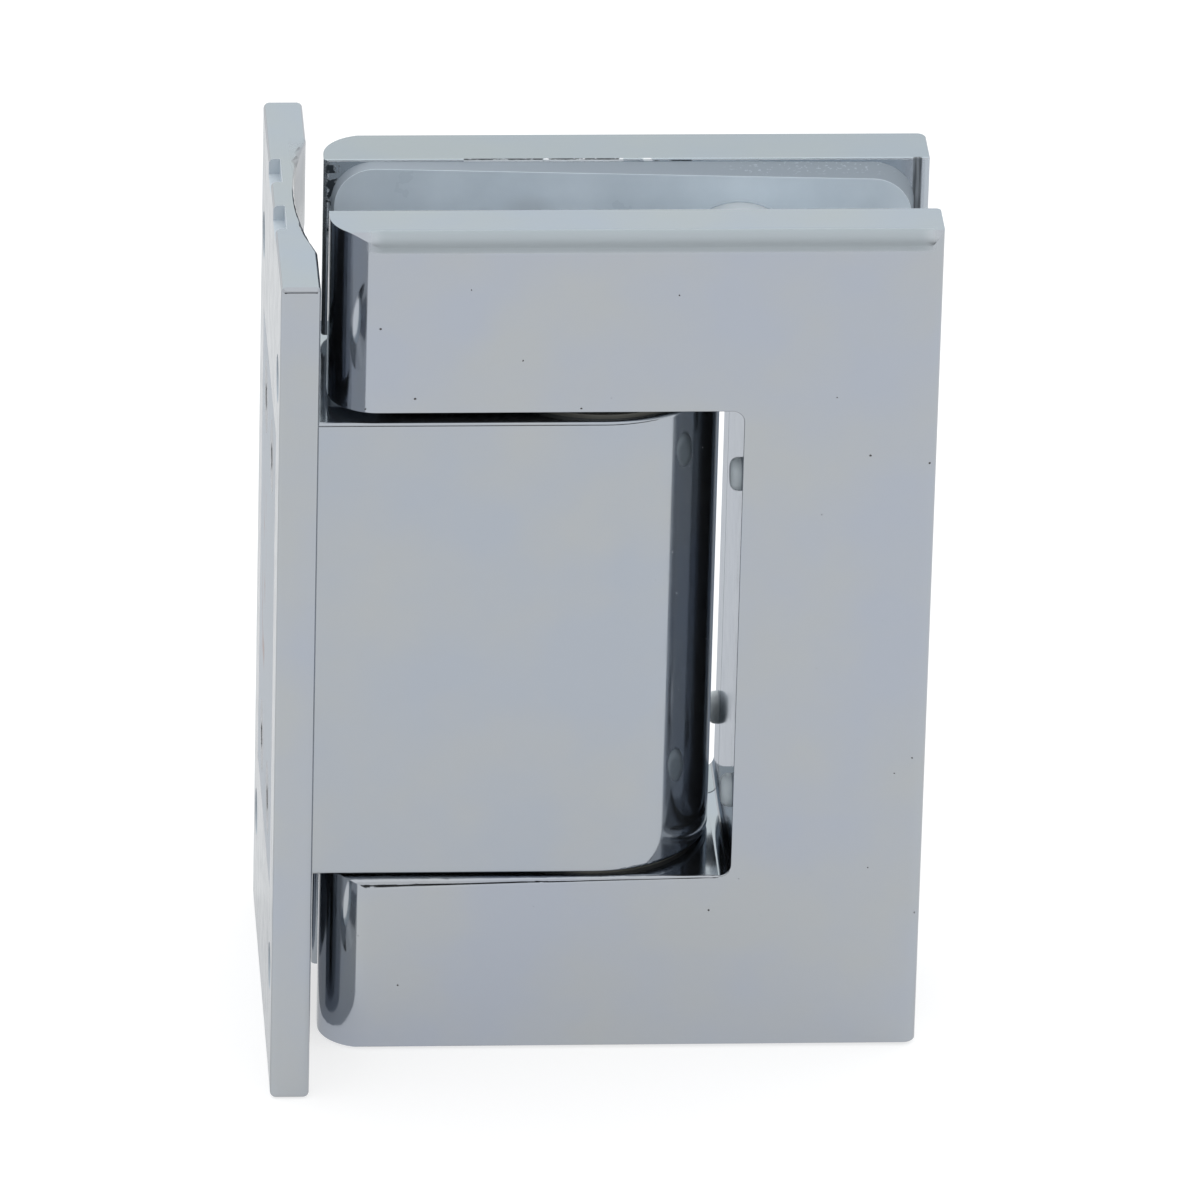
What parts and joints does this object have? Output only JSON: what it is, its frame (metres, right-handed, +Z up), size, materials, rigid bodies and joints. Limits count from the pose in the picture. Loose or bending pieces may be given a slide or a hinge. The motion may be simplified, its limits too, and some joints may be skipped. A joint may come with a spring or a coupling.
{
  "type": "glass door hinge",
  "caption": "Wall-mounted glass door hinge: a wall plate with a pivot block, and a C-shaped clamp with gaskets that grips the glass and swings both ways.",
  "frame": {"origin": "middle of the wall plate's back face, which is the centre of its wall screws", "axes": "+X out of the wall through the pivot to the clamp's glass end, +Y from the front plate to the rear plate, +Z up along the pivot pin"},
  "size_m": [0.0658, 0.0452, 0.0902],
  "materials": {
    "polished_chrome": "polished chrome plate over brass, lightly scuffed",
    "stainless_steel": "plain turned stainless steel",
    "bearing_bronze": "plain sintered bronze",
    "washer_polymer": "dark grey low-friction plastic",
    "clear_sleeve": "clear moulded plastic",
    "gasket_vinyl": "soft translucent vinyl",
    "bumper_rubber": "smooth translucent grey rubber"
  },
  "bodies": {
    "wall_side": {"wall_plate": "polished_chrome", "pivot_block": "polished_chrome", "block_retainer": "stainless_steel", "retainer_screws": "stainless_steel", "bush_lower": "bearing_bronze", "bush_upper": "bearing_bronze", "washer_upper": "washer_polymer", "detent_spring_lower": "stainless_steel", "detent_spring_upper": "stainless_steel"},
    "clamp": {"front_clamp_body": "polished_chrome", "rear_clamp_plate": "polished_chrome", "clamp_screws": "stainless_steel", "pivot_pin": "stainless_steel", "pin_grub_screws": "stainless_steel", "washer_lower": "washer_polymer", "screw_sleeve_lower": "clear_sleeve", "screw_sleeve_upper": "clear_sleeve", "front_gasket": "gasket_vinyl", "rear_gasket": "gasket_vinyl", "bumper_front_lower": "bumper_rubber", "bumper_front_upper": "bumper_rubber", "bumper_rear_lower": "bumper_rubber", "bumper_rear_upper": "bumper_rubber"},
    "lower_detent": {"detent_plunger_lower": "stainless_steel"},
    "upper_detent": {"detent_plunger_upper": "stainless_steel"}
  },
  "joints": [
    {"name": "clamp_swing", "type": "hinge", "parent": "wall_side", "child": "clamp", "pos_m": [0.0327, 0, 0], "axis": [0, 0, 1], "range_deg": [-90, 90]},
    {"name": "lower_detent_slide", "type": "slide", "parent": "wall_side", "child": "lower_detent", "axis": [1, 0, 0], "range_m": [0, 0.0006], "stiffness_N_per_m": 800, "springref_m": 0.012},
    {"name": "upper_detent_slide", "type": "slide", "parent": "wall_side", "child": "upper_detent", "axis": [1, 0, 0], "range_m": [0, 0.0006], "stiffness_N_per_m": 800, "springref_m": 0.012}
  ]
}
